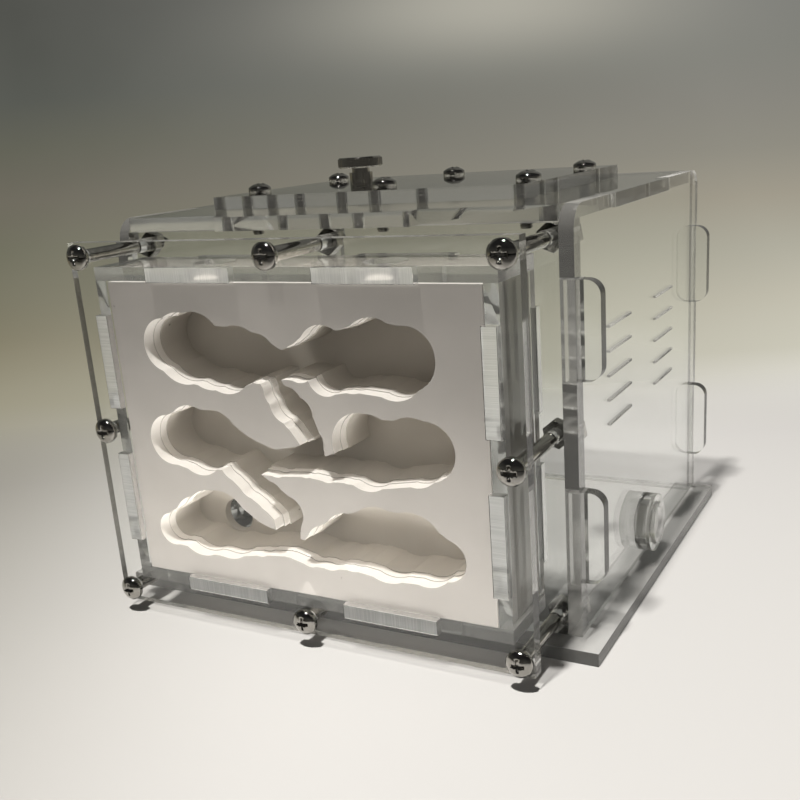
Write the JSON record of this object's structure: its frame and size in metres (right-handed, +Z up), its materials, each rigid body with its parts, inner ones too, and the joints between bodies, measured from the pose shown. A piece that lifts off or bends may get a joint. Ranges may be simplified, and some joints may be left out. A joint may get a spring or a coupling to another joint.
{
  "type": "ant habitat",
  "caption": "Clear box nest with a block of carved ant galleries, bolted to the front of a clear arena with vent slits, a side port and a lift-off roof with a screwed-on lid.",
  "frame": {"origin": "on the table, under the middle of the whole object", "axes": "+X to the right as the nest is viewed, +Y from the nest back to the arena, +Z up"},
  "size_m": [0.1226, 0.1196, 0.1009],
  "materials": {
    "clear_sheet": "polished clear acrylic with paler sawn edges",
    "pale_slab": "matt off-white plaster",
    "core_slab": "matt warm grey plaster",
    "bright_screws": "bright nickel plate",
    "dark_knob": "dark nickel, knurled"
  },
  "bodies": {
    "case": {"nest_front_plate": "clear_sheet", "nest_back_plate": "clear_sheet", "nest_top_panel": "clear_sheet", "nest_bottom_panel": "clear_sheet", "nest_left_panel": "clear_sheet", "nest_right_panel": "clear_sheet", "gallery_face": "pale_slab", "gallery_core": "core_slab", "nest_screws": "bright_screws", "nest_nuts": "bright_screws", "arena_front_wall": "clear_sheet", "arena_rear_wall": "clear_sheet", "arena_left_panel": "clear_sheet", "arena_right_panel": "clear_sheet", "base_plate": "clear_sheet", "port_bushing": "clear_sheet"},
    "roof": {"roof_plate": "clear_sheet", "lid_plate": "clear_sheet", "lid_screws": "bright_screws"},
    "knob": {"thumb_screw": "dark_knob"},
    "plug": {"port_plug": "clear_sheet"}
  },
  "joints": [
    {"name": "roof_lift", "type": "slide", "parent": "case", "child": "roof", "axis": [0, 0, 1], "range_m": [0, 0.05]},
    {"name": "knob_turn", "type": "hinge", "parent": "roof", "child": "knob", "pos_m": [-0.0135, 0.00335, 0.0942], "axis": [0, 0, 1], "range_deg": [0, 540]},
    {"name": "plug_pull", "type": "slide", "parent": "case", "child": "plug", "axis": [1, 0, 0], "range_m": [0, 0.012]}
  ]
}
